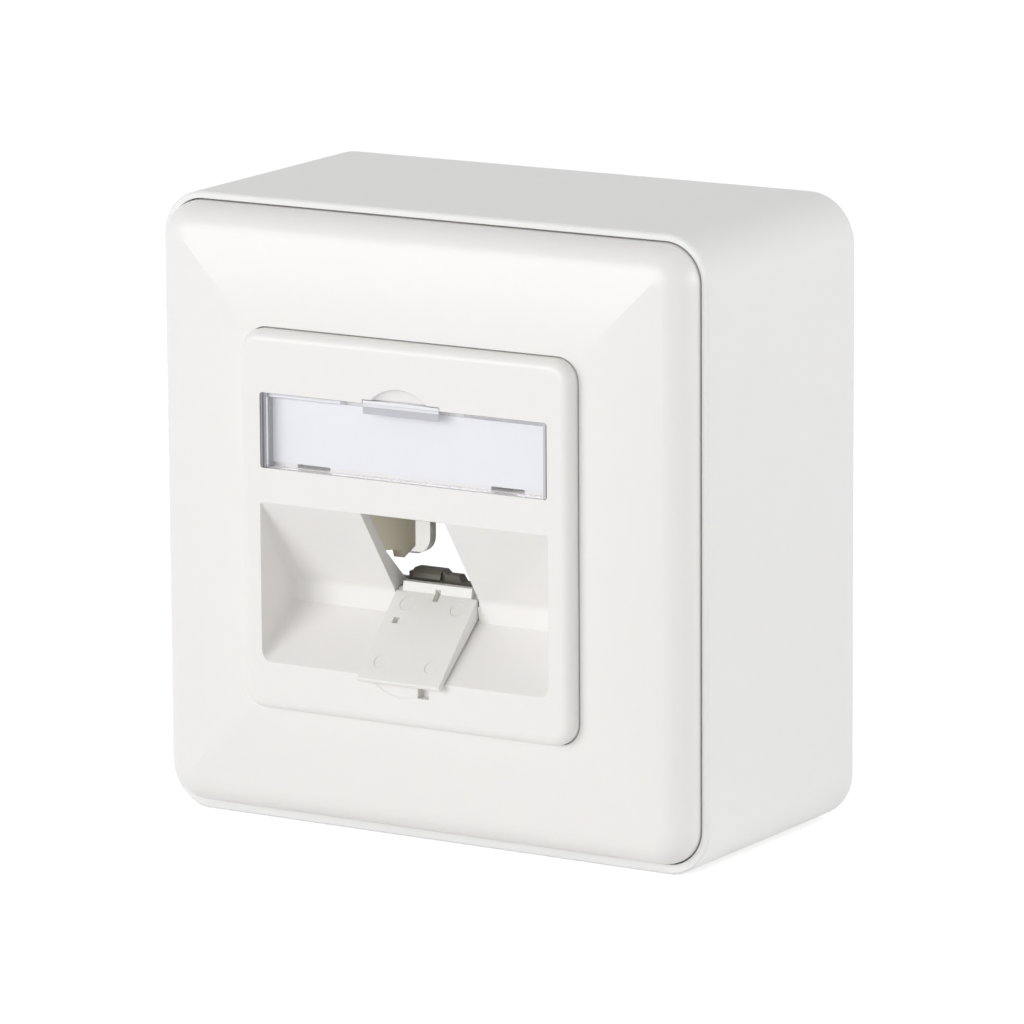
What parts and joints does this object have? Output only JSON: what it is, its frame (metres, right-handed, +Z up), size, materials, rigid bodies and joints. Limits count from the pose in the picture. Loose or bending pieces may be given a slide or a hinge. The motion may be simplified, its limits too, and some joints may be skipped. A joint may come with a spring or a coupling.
{
  "type": "surface mount jack box",
  "caption": "Square wall box with a raised cover frame, a centre plate with an angled jack port, an open hinged dust flap and a label window.",
  "frame": {"origin": "centre of the back face, on the wall", "axes": "+Z up, +X to the right of a person facing the outlet, +Y into the wall, so the front faces -Y"},
  "size_m": [0.083, 0.0453, 0.083],
  "materials": {
    "white_housing": "moulded ABS, satin, warm white",
    "white_cover": "moulded polycarbonate blend, satin, warm white",
    "white_flap": "moulded ABS, satin, warm white",
    "clear_window": "clear polycarbonate",
    "label_paper": "blank white paper",
    "zinc_steel": "zinc plated steel sheet",
    "screw_steel": "zinc plated steel",
    "dark_plastic": "moulded dark grey plastic"
  },
  "bodies": {
    "outlet": {"box_housing": "white_housing", "cover_frame": "white_cover", "centre_plate": "white_cover", "label_strip": "label_paper", "support_frame": "zinc_steel", "jack_holder": "white_housing", "jack_catch": "dark_plastic", "plate_screw": "screw_steel", "device_screw_left": "screw_steel", "device_screw_right": "screw_steel"},
    "flap": {"dust_flap": "white_flap"},
    "window": {"label_window": "clear_window"}
  },
  "joints": [
    {"name": "flap_hinge", "type": "hinge", "parent": "outlet", "child": "flap", "pos_m": [0, -0.0345, -0.0092], "axis": [-1, 0, 0], "range_deg": [0, 95.3]},
    {"name": "window_slide", "type": "slide", "parent": "outlet", "child": "window", "axis": [0, -1, 0], "range_m": [0, 0.01]}
  ]
}
